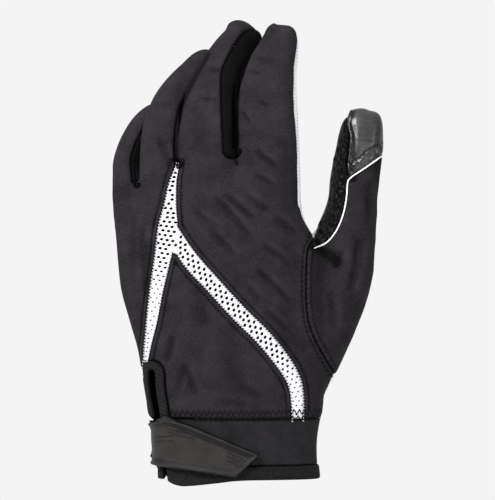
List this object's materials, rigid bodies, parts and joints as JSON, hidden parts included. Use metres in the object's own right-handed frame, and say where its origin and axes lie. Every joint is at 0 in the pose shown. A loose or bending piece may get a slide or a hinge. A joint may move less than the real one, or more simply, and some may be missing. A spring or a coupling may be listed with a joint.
{
  "type": "football receiver glove",
  "caption": "Left-hand receiver glove for American football with stretch-knit back, white mesh vent, grip palm, slit cuff and moulded wrist strap.",
  "frame": {"origin": "middle of the wrist opening, level with the cuff's lower edge, where the hand goes in", "axes": "+Z from the wrist to the fingertips, -Y out of the back of the hand, +X towards the thumb"},
  "size_m": [0.1301, 0.0777, 0.2195],
  "materials": {
    "back_knit": "matte charcoal knit",
    "vent_mesh": "matte white mesh",
    "grip_palm": "tacky pale grip film",
    "gusset_cloth": "matte black",
    "thumb_leather": "grained semi-matte",
    "cap_leather": "smooth glossy",
    "piping": "cut pale edge",
    "cuff_neoprene": "smooth matte",
    "hem_tape": "matte tape",
    "moulded_strap": "satin moulded",
    "hook_tape": "fine hooks"
  },
  "bodies": {
    "root": {"inner_back_panel": "back_knit", "outer_back_panel": "back_knit", "wedge_panel": "back_knit", "slit_side_panel": "back_knit", "mesh_vent": "vent_mesh", "palm_panel": "grip_palm", "index_middle_gusset": "gusset_cloth", "middle_ring_gusset": "gusset_cloth", "ring_pinky_gusset": "gusset_cloth", "thumb_back_panel": "back_knit", "thumb_palm_panel": "thumb_leather", "thumb_cap": "cap_leather", "thumb_piping": "piping", "cuff_band": "cuff_neoprene", "cuff_hem": "hem_tape", "slit_binding": "hem_tape", "closure_strap": "moulded_strap", "hook_pad": "hook_tape"}
  },
  "joints": []
}
